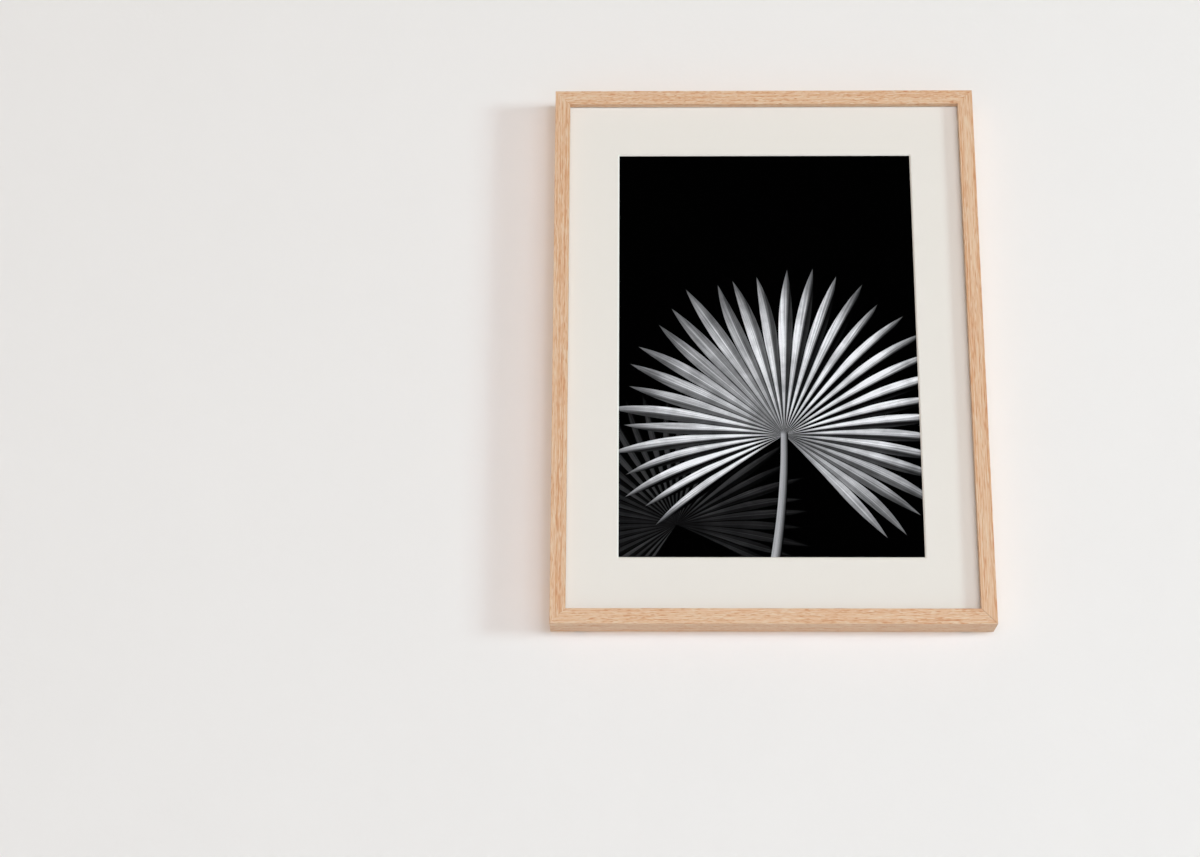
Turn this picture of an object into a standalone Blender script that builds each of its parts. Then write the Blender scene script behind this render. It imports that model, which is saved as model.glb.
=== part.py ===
"""Framed wall picture: a deep oak frame with glazing, a bevelled mat, a print and its backing.

Metres, +Z up. The picture faces -Y and hangs on a wall in the plane Y = 0. The origin is the middle
of the hanger's back face, where it meets that wall.
"""
import math

import bmesh
import bpy
from mathutils import Matrix, Vector

# Sheets that the rebate holds, a standard 18 by 24 inch set
SHEET_WIDTH = 0.457
SHEET_HEIGHT = 0.610
SHEET_PLAY = 0.001

# Oak rails
LIP_COVER = 0.005
LIP_THICKNESS = 0.0075
RAIL_WIDTH = 0.017
RAIL_DEPTH = 0.035
RAIL_EASING = 0.0007

# Stack behind the lip, from front to back
GLAZING_THICKNESS = 0.001
MAT_THICKNESS = 0.0015
PRINT_THICKNESS = 0.001
BACKING_THICKNESS = 0.003

# Window of the mat at its back face, where the print shows
WINDOW_WIDTH = 0.333
WINDOW_HEIGHT = 0.479

# Print sheet, larger than the window all round
PRINT_MARGIN = 0.012

# Spring steel tabs that hold the backing in
TAB_LENGTH = 0.017
TAB_ROOT = 0.005
TAB_WIDTH = 0.007
TAB_TIP_WIDTH = 0.004
TAB_THICKNESS = 0.0006
TAB_HOLE_RADIUS = 0.0011
TABS_ON_SHORT_RAIL = 2
TABS_ON_LONG_RAIL = 3

# Toothed hanger on the top rail and the bumpers on the bottom rail
STANDOFF = 0.003
HANGER_LENGTH = 0.045
HANGER_HEIGHT = 0.010
HANGER_PLATE = 0.001
HANGER_FOOT = 0.008
HANGER_SLOPE = 0.003
TOOTH_COUNT = 10
TOOTH_DEPTH = 0.0014
NAIL_HEAD_RADIUS = 0.0021
NAIL_HEAD_CROWN = 0.0013
NAIL_HEAD_HEIGHT = 0.0008
NAIL_RADIUS = 0.0007
NAIL_LENGTH = 0.010
BUMPER_RADIUS = 0.0045
BUMPER_INSET = 0.030
BUMPER_EASING = 0.0006

# V-shaped steel nails driven into the mitres from behind
CORNER_NAIL_LEG = 0.0045
CORNER_NAIL_THICKNESS = 0.0006
CORNER_NAIL_LENGTH = 0.010

# Space kept between pieces that touch
GAP = 0.0003

# Names of the two collections
PARTS = "framed_wall_picture"
CUTTERS = "cutters"

# Worked out from the sizes above
REBATE_WIDTH = LIP_COVER + SHEET_PLAY
OUTER_WIDTH = SHEET_WIDTH - 2 * LIP_COVER + 2 * RAIL_WIDTH
OUTER_HEIGHT = SHEET_HEIGHT - 2 * LIP_COVER + 2 * RAIL_WIDTH
BACK_Y = -STANDOFF
FRONT_Y = BACK_Y - RAIL_DEPTH
BACK_FACE_WIDTH = RAIL_WIDTH - REBATE_WIDTH
CENTRE_Z = BACK_FACE_WIDTH / 2 - OUTER_HEIGHT / 2
GLAZING_Y = FRONT_Y + LIP_THICKNESS + GAP
MAT_Y = GLAZING_Y + GLAZING_THICKNESS + GAP
PRINT_Y = MAT_Y + MAT_THICKNESS + GAP
BACKING_Y = PRINT_Y + PRINT_THICKNESS + GAP
TAB_Y = BACKING_Y + BACKING_THICKNESS + GAP
NAIL_X = HANGER_LENGTH / 2 - HANGER_FOOT / 2

# The sheets rest on the bottom rail, so their play is above them
SHEET_Z = CENTRE_Z - SHEET_PLAY + GAP


def clear_scene():
    """Remove what a new file holds and add the two collections."""
    for item in list(bpy.data.objects):
        bpy.data.objects.remove(item)
    for name in (PARTS, CUTTERS):
        bpy.context.scene.collection.children.link(bpy.data.collections.new(name))


def finish(name, colour, roughness, metallic=0.0):
    """A plain material in the piece's own colour."""
    material = bpy.data.materials.new(name)
    material.use_nodes = True
    shader = material.node_tree.nodes["Principled BSDF"]
    shader.inputs["Base Color"].default_value = (*colour, 1.0)
    shader.inputs["Roughness"].default_value = roughness
    shader.inputs["Metallic"].default_value = metallic
    material.diffuse_color = (*colour, 1.0)
    return material


def add_piece(name, mesh, material, parent=None):
    """Put a mesh in the parts collection as a named piece."""
    piece = bpy.data.objects.new(name, mesh)
    if not mesh.materials:
        mesh.materials.append(material)
    piece.parent = parent
    bpy.data.collections[PARTS].objects.link(piece)
    return piece


def add_cutter(name, mesh, parent=None):
    """Put a mesh in the cutters collection, drawn as a wire."""
    cutter = bpy.data.objects.new(name, mesh)
    cutter.display_type = "WIRE"
    cutter.hide_render = True
    cutter.parent = parent
    bpy.data.collections[CUTTERS].objects.link(cutter)
    return cutter


def cut(piece, cutter):
    """Take the cutter's shape out of the piece."""
    boolean = piece.modifiers.new(cutter.name, "BOOLEAN")
    boolean.operation = "DIFFERENCE"
    boolean.solver = "EXACT"
    boolean.object = cutter


def ease(piece, width, segments=2):
    """Round the piece's sharp edges a little."""
    bevel = piece.modifiers.new("eased_edges", "BEVEL")
    bevel.width = width
    bevel.segments = segments
    bevel.limit_method = "ANGLE"
    bevel.angle_limit = math.radians(40)


def block(name, low, high):
    """A box between two corners."""
    low = Vector(low)
    high = Vector(high)
    mesh = bpy.data.meshes.new(name)
    bm = bmesh.new()
    bmesh.ops.create_cube(bm, size=1.0)
    bmesh.ops.scale(bm, vec=high - low, verts=bm.verts)
    bmesh.ops.translate(bm, vec=(low + high) / 2, verts=bm.verts)
    bm.to_mesh(mesh)
    bm.free()
    return mesh


def rod(name, radius, length, segments=16):
    """A cylinder along Y, from Y = 0 towards +Y."""
    mesh = bpy.data.meshes.new(name)
    bm = bmesh.new()
    bmesh.ops.create_cone(bm, cap_ends=True, segments=segments, radius1=radius, radius2=radius,
                          depth=length)
    bmesh.ops.translate(bm, vec=(0, 0, length / 2), verts=bm.verts)
    bmesh.ops.rotate(bm, matrix=Matrix.Rotation(-math.pi / 2, 3, "X"), verts=bm.verts)
    bm.to_mesh(mesh)
    bm.free()
    return mesh


def plate(name, outlines, thickness):
    """A flat plate from Z = 0 upwards. The first outline is its edge, and any other is a hole."""
    curve = bpy.data.curves.new(name, "CURVE")
    curve.dimensions = "2D"
    curve.fill_mode = "BOTH"
    curve.extrude = thickness / 2
    for outline in outlines:
        spline = curve.splines.new("POLY")
        spline.points.add(len(outline) - 1)
        spline.use_cyclic_u = True
        for point, (x, y) in zip(spline.points, outline):
            point.co = (x, y, 0.0, 1.0)
    drawing = bpy.data.objects.new(name, curve)
    bpy.data.collections[CUTTERS].objects.link(drawing)
    evaluated = drawing.evaluated_get(bpy.context.evaluated_depsgraph_get())
    mesh = bpy.data.meshes.new_from_object(evaluated)
    bpy.data.curves.remove(curve)
    bm = bmesh.new()
    bm.from_mesh(mesh)
    bmesh.ops.remove_doubles(bm, verts=bm.verts, dist=0.00001)
    bmesh.ops.translate(bm, vec=(0, 0, thickness / 2), verts=bm.verts)
    bmesh.ops.recalc_face_normals(bm, faces=bm.faces)
    bm.to_mesh(mesh)
    bm.free()
    mesh.shade_flat()
    return mesh


def circle(centre_x, centre_y, radius, segments=12):
    """Points round a circle."""
    turn = 2 * math.pi / segments
    return [
        (centre_x + radius * math.cos(step * turn), centre_y + radius * math.sin(step * turn))
        for step in range(segments)
    ]


def spread(count, length):
    """Places spaced evenly along a length that is centred on zero."""
    return [length * ((index + 0.5) / count - 0.5) for index in range(count)]


def make_side(name, angle):
    """An empty at the frame's centre. Its +Z points out of the frame through one rail."""
    side = bpy.data.objects.new(name, None)
    side.location = (0, 0, CENTRE_Z)
    side.rotation_euler = (0, angle, 0)
    bpy.data.collections[PARTS].objects.link(side)
    return side


def make_rail(name, side, length, reach, oak):
    """One mitred oak stick with its rebate, outer face at the given reach from the centre."""
    inner = reach - RAIL_WIDTH
    half = length / 2
    rail = add_piece(name, block(name, (-half, FRONT_Y, inner), (half, BACK_Y, reach)), oak, side)
    ease(rail, RAIL_EASING)

    rebate_low = (-length, FRONT_Y + LIP_THICKNESS, inner - RAIL_WIDTH)
    rebate_high = (length, 0, inner + REBATE_WIDTH)
    cut(rail, add_cutter(name + "_rebate", block(name + "_rebate", rebate_low, rebate_high), side))

    # Each mitre cutter is a block turned by 45 degrees, its near face through the frame's corner
    size = 4 * RAIL_WIDTH
    setback = half - GAP / math.sqrt(2)
    for end, place, degrees in (("left", -setback, 135), ("right", setback, 45)):
        mitre = name + "_mitre_" + end
        cutter = add_cutter(mitre, block(mitre, (0, 2 * FRONT_Y, -size), (size, size, size)), side)
        turn = Matrix.Rotation(math.radians(degrees), 4, "Y")
        cutter.matrix_local = Matrix.Translation((place, 0, reach)) @ turn
        cut(rail, cutter)
    return rail


def make_tab(name, side, rail, place, reach, steel):
    """A spring steel tab in a slot of the rail, lying behind the backing."""
    wall = reach - BACK_FACE_WIDTH
    root = wall + TAB_ROOT
    tip = root - TAB_LENGTH
    taper = wall - (TAB_LENGTH - TAB_ROOT) / 2
    half = TAB_WIDTH / 2
    half_tip = TAB_TIP_WIDTH / 2
    edge = [(-half, root), (-half, taper), (-half_tip, tip), (half_tip, tip), (half, taper), (half, root)]
    hole = circle(0, (taper + tip) / 2, TAB_HOLE_RADIUS)
    tab = add_piece(name, plate(name, [edge, hole], TAB_THICKNESS), steel, side)
    tab.matrix_local = Matrix.Translation((place, TAB_Y + TAB_THICKNESS, 0)) @ Matrix.Rotation(
        math.pi / 2, 4, "X")

    slot_low = (place - half - GAP, TAB_Y - GAP, wall - GAP)
    slot_high = (place + half + GAP, TAB_Y + TAB_THICKNESS + GAP, root + GAP)
    cut(rail, add_cutter(name + "_slot", block(name + "_slot", slot_low, slot_high), side))


def make_frame(oak, steel):
    """Four rails and the tabs in them. Returns the rails by name."""
    rails = {}
    layout = [
        ("top", 0, OUTER_WIDTH, OUTER_HEIGHT / 2, TABS_ON_SHORT_RAIL),
        ("right", 90, OUTER_HEIGHT, OUTER_WIDTH / 2, TABS_ON_LONG_RAIL),
        ("bottom", 180, OUTER_WIDTH, OUTER_HEIGHT / 2, TABS_ON_SHORT_RAIL),
        ("left", 270, OUTER_HEIGHT, OUTER_WIDTH / 2, TABS_ON_LONG_RAIL),
    ]
    for name, degrees, length, reach, tab_count in layout:
        side = make_side("side_" + name, math.radians(degrees))
        rails[name] = make_rail("rail_" + name, side, length, reach, oak)
        for index, place in enumerate(spread(tab_count, length)):
            make_tab(f"tab_{name}_{index + 1}", side, rails[name], place, reach, steel)
    return rails


def corner_outline(leg, half_thickness):
    """A right-angled V with its legs along -X and -Y and its point in the +X +Y quarter."""
    near = half_thickness
    far = -leg - half_thickness
    return [(near, near), (far, near), (far, -near), (-near, -near), (-near, far), (near, far)]


def make_corner_nails(rails, steel):
    """A V-shaped nail across each mitre, a little under the back face."""
    half = CORNER_NAIL_THICKNESS / 2
    nail_outline = corner_outline(CORNER_NAIL_LEG - GAP, half)
    slot_outline = corner_outline(CORNER_NAIL_LEG, half + GAP)
    across = OUTER_WIDTH / 2 - BACK_FACE_WIDTH / 2
    up = OUTER_HEIGHT / 2 - BACK_FACE_WIDTH / 2
    layout = [
        ("top", "right", across, up, 0),
        ("bottom", "right", across, -up, 90),
        ("bottom", "left", -across, -up, 180),
        ("top", "left", -across, up, 270),
    ]
    for level, end, x, z, degrees in layout:
        name = f"corner_nail_{level}_{end}"
        turn = Matrix.Rotation(math.radians(degrees), 4, "Y") @ Matrix.Rotation(math.pi / 2, 4, "X")
        nail = add_piece(name, plate(name, [nail_outline], CORNER_NAIL_LENGTH), steel)
        nail.matrix_world = Matrix.Translation((x, BACK_Y - GAP, CENTRE_Z + z)) @ turn
        slot_mesh = plate(name + "_slot", [slot_outline], CORNER_NAIL_LENGTH + 4 * GAP)
        slot = add_cutter(name + "_slot", slot_mesh)
        slot.matrix_world = Matrix.Translation((x, BACK_Y + 2 * GAP, CENTRE_Z + z)) @ turn
        cut(rails[level], slot)
        cut(rails[end], slot)


def sheet(name, front, width, height, thickness):
    """A flat sheet as it rests in the frame, its front face at the given Y."""
    low = (-width / 2, front, SHEET_Z - height / 2)
    high = (width / 2, front + thickness, SHEET_Z + height / 2)
    return block(name, low, high)


def make_window():
    """The cutter of the mat's window, with sides at 45 degrees that open to the front."""
    window = sheet("mat_window", MAT_Y - MAT_THICKNESS, WINDOW_WIDTH, WINDOW_HEIGHT, 3 * MAT_THICKNESS)
    back = MAT_Y + MAT_THICKNESS
    for vertex in window.vertices:
        ahead = back - vertex.co.y
        vertex.co.x += math.copysign(ahead, vertex.co.x)
        vertex.co.z += math.copysign(ahead, vertex.co.z - SHEET_Z)
    return add_cutter("mat_window", window)


def make_sheets(clear, card, paper, board):
    """Glazing, mat, print and backing, from front to back."""
    print_width = WINDOW_WIDTH + 2 * PRINT_MARGIN
    print_height = WINDOW_HEIGHT + 2 * PRINT_MARGIN
    stack = [
        ("glazing", GLAZING_Y, SHEET_WIDTH, SHEET_HEIGHT, GLAZING_THICKNESS, clear),
        ("mat_board", MAT_Y, SHEET_WIDTH, SHEET_HEIGHT, MAT_THICKNESS, card),
        ("print_sheet", PRINT_Y, print_width, print_height, PRINT_THICKNESS, paper),
        ("backing_board", BACKING_Y, SHEET_WIDTH, SHEET_HEIGHT, BACKING_THICKNESS, board),
    ]
    for name, front, width, height, thickness, material in stack:
        piece = add_piece(name, sheet(name, front, width, height, thickness), material)
        if name == "mat_board":
            cut(piece, make_window())


def make_nail(name, place, steel):
    """A round-headed nail along Y, turned from half its outline."""
    outline = [
        (0, NAIL_HEAD_HEIGHT),
        (NAIL_HEAD_CROWN, NAIL_HEAD_HEIGHT),
        (NAIL_HEAD_RADIUS, NAIL_HEAD_HEIGHT / 2),
        (NAIL_HEAD_RADIUS, 0),
        (NAIL_RADIUS, 0),
        (NAIL_RADIUS, NAIL_RADIUS * 2 - NAIL_LENGTH),
        (0, -NAIL_LENGTH),
    ]
    mesh = bpy.data.meshes.new(name)
    bm = bmesh.new()
    vertices = [bm.verts.new((x, 0, z)) for x, z in outline]
    for first, second in zip(vertices, vertices[1:]):
        bm.edges.new((first, second))
    bm.to_mesh(mesh)
    bm.free()
    nail = add_piece(name, mesh, steel)
    nail.location = (place, -STANDOFF + 2 * GAP + HANGER_PLATE, 0)
    nail.rotation_euler = (-math.pi / 2, 0, 0)
    screw = nail.modifiers.new("turned", "SCREW")
    screw.steps = 16
    screw.render_steps = 16
    screw.use_merge_vertices = True
    screw.merge_threshold = 0.00001


def make_hanger(top_rail, steel):
    """A toothed hanger plate on the back of the top rail, with its two nails."""
    half = HANGER_LENGTH / 2
    bend = half - HANGER_FOOT
    web = bend - HANGER_SLOPE
    foot_y = -STANDOFF + GAP
    web_y = -HANGER_PLATE
    path = [(-half, foot_y), (-bend, foot_y), (-web, web_y), (web, web_y), (bend, foot_y), (half, foot_y)]
    back_path = [(x, y + HANGER_PLATE) for x, y in reversed(path)]
    hanger = add_piece("hanger_plate", plate("hanger_plate", [path + back_path], HANGER_HEIGHT), steel)
    hanger.location = (0, 0, -HANGER_HEIGHT / 2)

    # The teeth are the steel left between notches cut up from the lower edge
    pitch = 2 * web / TOOTH_COUNT
    notches = []
    for place in spread(TOOTH_COUNT, 2 * web):
        notches += [(place - pitch / 2, 0), (place, TOOTH_DEPTH)]
    below = -TOOTH_DEPTH
    outline = [(-web, below)] + notches + [(web, 0), (web, below)]
    teeth = add_cutter("hanger_teeth", plate("hanger_teeth", [outline], 2 * STANDOFF))
    teeth.location = (0, STANDOFF, -HANGER_HEIGHT / 2)
    teeth.rotation_euler = (math.pi / 2, 0, 0)
    cut(hanger, teeth)

    for name, place in (("left", -NAIL_X), ("right", NAIL_X)):
        hole = rod("nail_hole_" + name, NAIL_RADIUS + GAP, NAIL_LENGTH + STANDOFF)
        cutter = add_cutter("nail_hole_" + name, hole)
        cutter.location = (place, -STANDOFF - NAIL_LENGTH, 0)
        cut(hanger, cutter)
        cut(top_rail, cutter)
        make_nail("hanger_nail_" + name, place, steel)


def make_bumpers(rubber):
    """Two round pads low on the frame's back, which keep it parallel to the wall."""
    low = CENTRE_Z - OUTER_HEIGHT / 2 + BACK_FACE_WIDTH / 2
    for name, end in (("left", -1), ("right", 1)):
        pad = add_piece("bumper_" + name, rod("bumper_" + name, BUMPER_RADIUS, STANDOFF - GAP, 24), rubber)
        pad.location = (end * (OUTER_WIDTH / 2 - BUMPER_INSET), BACK_Y + GAP, low)
        ease(pad, BUMPER_EASING)


def main():
    """Build the whole picture."""
    clear_scene()
    oak = finish("oak", (0.66, 0.43, 0.27), 0.55)
    steel = finish("zinc_steel", (0.60, 0.60, 0.58), 0.35, 1.0)
    clear = finish("glazing", (0.90, 0.95, 0.93), 0.03)
    card = finish("mat_card", (0.80, 0.76, 0.70), 0.90)
    paper = finish("print_paper", (0.05, 0.05, 0.05), 0.60)
    board = finish("backing_board", (0.36, 0.22, 0.12), 0.75)
    rubber = finish("bumper", (0.05, 0.05, 0.05), 0.85)
    rails = make_frame(oak, steel)
    make_hanger(rails["top"], steel)
    make_corner_nails(rails, steel)
    make_bumpers(rubber)
    make_sheets(clear, card, paper, board)


main()
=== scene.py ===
"""Framed wall picture: oak rails, mat, print, glazing, backing and fittings, round the solids.

Metres, +Z up. The picture faces -Y and hangs on a wall in the plane Y = 0.
"""
import math

import bmesh
import bpy
from bpy.props import FloatProperty, FloatVectorProperty, IntProperty, PointerProperty
from bpy.types import Operator, Panel, PropertyGroup
from mathutils import Euler, Matrix, Vector


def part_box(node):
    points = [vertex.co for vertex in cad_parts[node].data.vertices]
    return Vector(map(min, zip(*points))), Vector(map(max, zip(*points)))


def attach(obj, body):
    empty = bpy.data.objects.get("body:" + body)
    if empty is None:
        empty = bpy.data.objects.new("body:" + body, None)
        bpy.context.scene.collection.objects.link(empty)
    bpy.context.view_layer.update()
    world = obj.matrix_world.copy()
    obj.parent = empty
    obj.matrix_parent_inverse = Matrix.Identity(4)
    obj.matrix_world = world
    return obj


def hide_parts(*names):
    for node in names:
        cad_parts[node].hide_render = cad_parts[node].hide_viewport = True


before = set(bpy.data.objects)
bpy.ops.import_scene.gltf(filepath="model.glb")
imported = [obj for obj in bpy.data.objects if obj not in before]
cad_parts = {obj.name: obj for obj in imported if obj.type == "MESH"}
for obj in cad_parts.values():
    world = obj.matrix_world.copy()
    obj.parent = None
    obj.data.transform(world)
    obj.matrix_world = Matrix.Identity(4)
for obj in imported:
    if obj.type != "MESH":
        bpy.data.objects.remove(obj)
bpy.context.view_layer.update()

bl_info = {
    "name": "Framed Wall Picture",
    "version": (1, 0, 0),
    "blender": (4, 5, 0),
    "location": "View3D > Sidebar > Wall Picture",
    "description": "Builds an oak-framed picture with mat, print, glazing, fittings and stage",
    "category": "Object",
}

# The picture's own planes and sizes, read from the solids
RAIL_LOW, RAIL_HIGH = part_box("rail_top")
FRONT_Y = RAIL_LOW.y
BACK_Y = RAIL_HIGH.y
HALF_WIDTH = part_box("rail_right")[1].x
TOP_Z = RAIL_HIGH.z
BOTTOM_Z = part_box("rail_bottom")[0].z
CENTRE_Z = (TOP_Z + BOTTOM_Z) / 2
HALF_HEIGHT = (TOP_Z - BOTTOM_Z) / 2
GLAZING_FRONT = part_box("glazing")[0].y
GLAZING_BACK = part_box("glazing")[1].y
MAT_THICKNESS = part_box("mat_board")[1].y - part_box("mat_board")[0].y

# The solids keep 0.3 mm between pieces that touch, and the dressed lip, mat and print this much
TOUCH = 0.00005

# Flat parts round each eased corner of a rail
CORNER_STEPS = 4

# Each rail: its name, the turn that points its outside up, its reach from the centre and half
# its length
RAILS = (
    ("top", 0, HALF_HEIGHT, HALF_WIDTH),
    ("right", 90, HALF_WIDTH, HALF_HEIGHT),
    ("bottom", 180, HALF_HEIGHT, HALF_WIDTH),
    ("left", 270, HALF_WIDTH, HALF_HEIGHT),
)

# How each rail is cut from its board: the start in metres, the turn of its rings in degrees, and
# how close its grain marks follow each other along it
RAIL_CUTS = {
    "top": (0.0, 62, 1.0),
    "right": (1.3, 12, 0.40),
    "bottom": (2.6, 48, 0.80),
    "left": (3.9, 20, 0.55),
}

# The rail ends that meet at the open mitre, at the lower right: 0 is a rail's first end, 1 its last
OPEN_ENDS = {"right": 1, "bottom": 0}

# The camera of the photograph, solved from the frame's corners: metres, degrees and millimetres
CAMERA_PLACE = (-0.14495, -2.56303, -1.26648)
CAMERA_TURN = (108.788, -0.283, 0.860)
CAMERA_LENS = 72.536
CAMERA_SENSOR = 36.0
CAMERA_REACH = 60.0

# Soft lights round the picture: turn to the right of its normal and tilt up in degrees, distance,
# width and height in metres, power in watts, and tint
LIGHTS = {
    "front_light": (0, 1, 9.0, 6.0, 2.0, 286.0, (0.85, 0.855, 1.0)),
    "room_light": (25, 1, 9.0, 5.0, 2.0, 193.0, (0.816, 0.892, 1.0)),
    "window_light": (61, 1, 16.0, 2.0, 3.0, 378.0, (0.69, 0.80, 1.0)),
    "side_light": (65, 1, 16.0, 2.4, 3.0, 790.0, (0.635, 0.912, 1.0)),
    "back_light": (208, 22, 4.6, 3.4, 3.4, 220.0, (1.0, 0.98, 0.96)),
}

# The painted wall's half width and top, and its plane just behind the picture's back
WALL_HALF_WIDTH = 14.0
WALL_TOP = 5.0
WALL_PLANE = 0.0002

# The round floor's corners, and the radius of the backdrop
FLOOR_CORNERS = 96
BACKDROP_RADIUS = 26.0


def three(value):
    """Three numbers, from three or from one that stands for all of them."""
    return (value, value, value) if isinstance(value, float) else value


class Term:
    """One value in a finish. Arithmetic on it adds Math nodes."""

    def __init__(self, finish, socket):
        self.finish = finish
        self.socket = socket

    def __add__(self, other):
        return self.finish.maths("ADD", self, other)

    def __radd__(self, other):
        return self.finish.maths("ADD", other, self)

    def __sub__(self, other):
        return self.finish.maths("SUBTRACT", self, other)

    def __rsub__(self, other):
        return self.finish.maths("SUBTRACT", other, self)

    def __mul__(self, other):
        return self.finish.maths("MULTIPLY", self, other)

    def __rmul__(self, other):
        return self.finish.maths("MULTIPLY", other, self)

    def __truediv__(self, other):
        return self.finish.maths("DIVIDE", self, other)

    def __rtruediv__(self, other):
        return self.finish.maths("DIVIDE", other, self)

    def __pow__(self, other):
        return self.finish.maths("POWER", self, other)

    def __rpow__(self, other):
        return self.finish.maths("POWER", other, self)

    def __abs__(self):
        return self.finish.maths("ABSOLUTE", self)

    def floor(self):
        return self.finish.maths("FLOOR", self)

    def sine(self):
        return self.finish.maths("SINE", self)

    def cosine(self):
        return self.finish.maths("COSINE", self)

    def root(self):
        return self.finish.maths("SQRT", self)

    def angle_from(self, other):
        return self.finish.maths("ARCTAN2", self, other)

    def at_least(self, other):
        return self.finish.maths("MAXIMUM", self, other)

    def at_most(self, other):
        return self.finish.maths("MINIMUM", self, other)

    def within(self, low=0.0, high=1.0):
        return self.at_least(low).at_most(high)

    def rise(self, low, high):
        """0 below low and 1 above high, with a smooth step between them. Low may be the larger."""
        return self.finish.add(
            "ShaderNodeMapRange",
            {"interpolation_type": "SMOOTHSTEP"},
            {"Value": self, "From Min": low, "From Max": high, "To Min": 0.0, "To Max": 1.0},
        )

    def other(self, output):
        """Another output of the same node."""
        return Term(self.finish, self.socket.node.outputs[output])


class Finish:
    """A material and the tree that its values and colours are worked out in."""

    def __init__(self, name):
        self.material = bpy.data.materials.new(name)
        self.material.use_nodes = True
        self.tree = self.material.node_tree
        self.tree.nodes.clear()

    def add(self, kind, settings=None, sockets=None, output=0):
        """A node of this type, its settings first and then its sockets. Returns one output."""
        node = self.tree.nodes.new(kind)
        for name, setting in (settings or {}).items():
            setattr(node, name, setting)
        for name, value in (sockets or {}).items():
            socket = node.inputs[name]
            if isinstance(value, Term):
                self.tree.links.new(value.socket, socket)
            elif socket.type == "RGBA":
                socket.default_value = (*value[:3], 1.0)
            else:
                socket.default_value = value
        return Term(self, node.outputs[output]) if node.outputs else node

    def maths(self, operation, *values):
        return self.add("ShaderNodeMath", {"operation": operation}, dict(enumerate(values)))

    def vector(self, x, y, z):
        return self.add("ShaderNodeCombineXYZ", None, {0: x, 1: y, 2: z})

    def split(self, vector):
        """The three parts of a vector or colour."""
        first = self.add("ShaderNodeSeparateXYZ", None, {0: vector})
        return first, first.other(1), first.other(2)

    def stored(self, name):
        """A vector that the piece's mesh carries."""
        return self.add("ShaderNodeAttribute", {"attribute_name": name}, output="Vector")

    def place(self):
        """Where the point is, in metres."""
        return self.add("ShaderNodeTexCoord", output="Object")

    def noise(self, place, stretch, detail=2.0, roughness=0.5, seed=0.0):
        """Soft noise from 0 to 1. Stretch is the features per metre, as one number or three."""
        scaled = self.add(
            "ShaderNodeVectorMath",
            {"operation": "MULTIPLY_ADD"},
            {0: place, 1: three(stretch), 2: (seed, seed * 0.7, seed * 0.3)},
        )
        return self.add(
            "ShaderNodeTexNoise",
            {"noise_dimensions": "3D"},
            {"Vector": scaled, "Scale": 1.0, "Detail": detail, "Roughness": roughness},
        )

    def mix(self, factor, first, second):
        """A colour between two colours."""
        return self.add(
            "ShaderNodeMix",
            {"data_type": "RGBA"},
            {0: factor, 6: first, 7: second},
            output=2,
        )

    def grey(self, value):
        """A neutral colour from one value."""
        return self.add("ShaderNodeCombineColor", None, {0: value, 1: value, 2: value})

    def bump(self, height, depth, strength=1.0):
        """A normal from a height of 0 to 1 that stands for so many metres."""
        return self.add(
            "ShaderNodeBump",
            None,
            {"Strength": strength, "Distance": depth, "Height": height},
        )

    def show(self, shader):
        """Make this shader the surface."""
        self.add("ShaderNodeOutputMaterial", None, {"Surface": shader})
        return self.material

    def principled(self, **sockets):
        """One Principled shader as the surface. Socket names are given with _ for each space."""
        named = {name.replace("_", " "): value for name, value in sockets.items()}
        return self.show(self.add("ShaderNodeBsdfPrincipled", None, named))


def length(label, about, default):
    """A setting in metres."""
    return FloatProperty(name=label, description=about, default=default, min=0.0, unit="LENGTH",
                         precision=5)


def share(label, about, default):
    """A setting from 0 to 1."""
    return FloatProperty(name=label, description=about, default=default, min=0.0, max=1.0,
                         subtype="FACTOR")


def colour(label, about, default):
    """A colour setting."""
    return FloatVectorProperty(name=label, description=about, default=default, size=3, min=0.0,
                               max=1.0, subtype="COLOR")


def tint(label, about, default):
    """A setting that red, green and blue are multiplied by."""
    return FloatVectorProperty(name=label, description=about, default=default, size=3, min=0.0,
                               max=2.0)


def toned(base, shares):
    """A colour times one number, or times one for each of its parts, and never brighter than 1."""
    return [min(1.0, part * fade) for part, fade in zip(base, three(shares))]


class OakRails(PropertyGroup):
    """The four mitred rails."""

    rail_width: length("Rail width", "Width of each rail's front face", RAIL_HIGH.z - RAIL_LOW.z)
    lip_thickness: length("Lip thickness", "Depth of the lip in front of the glazing",
                          GLAZING_FRONT - TOUCH - FRONT_Y)
    back_width: length("Back width", "Width of each rail's back face", 0.011)
    arris: length("Arris radius", "Radius of the front edges", 0.0004)
    mitre_gap: length("Mitre gap", "Hairline between two rails at a closed mitre", 0.00005)
    open_mitre_gap: length("Open mitre gap", "Hairline at the lower right mitre, which shows",
                           0.00024)
    wood: colour("Oak", "Colour of the lacquered wood between the pores", (0.772, 0.518, 0.326))
    late: tint("Late wood", "What the oak's colour is multiplied by in its rings",
               (0.90, 0.73, 0.60))
    pore: tint("Pores", "What the oak's colour is multiplied by in its pores", (0.77, 0.48, 0.31))
    pale: tint("Pale flecks", "What the oak's colour is multiplied by in its flecks",
               (1.05, 1.20, 1.32))
    raw: colour("Bare oak", "Colour of the unlacquered back and rebate", (0.70, 0.50, 0.335))
    roughness: share("Roughness", "Roughness of the matt lacquer", 0.46)


class MatBoard(PropertyGroup):
    """The mat and its bevelled window."""

    window_width: length("Window width", "Width of the window where the print shows", 0.333)
    window_height: length("Window height", "Height of the window where the print shows", 0.479)
    face: colour("Face", "Colour of the mat's face paper", (0.842, 0.794, 0.710))
    core: colour("Core", "Colour of the cut core at the bevel", (0.94, 0.90, 0.81))


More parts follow.
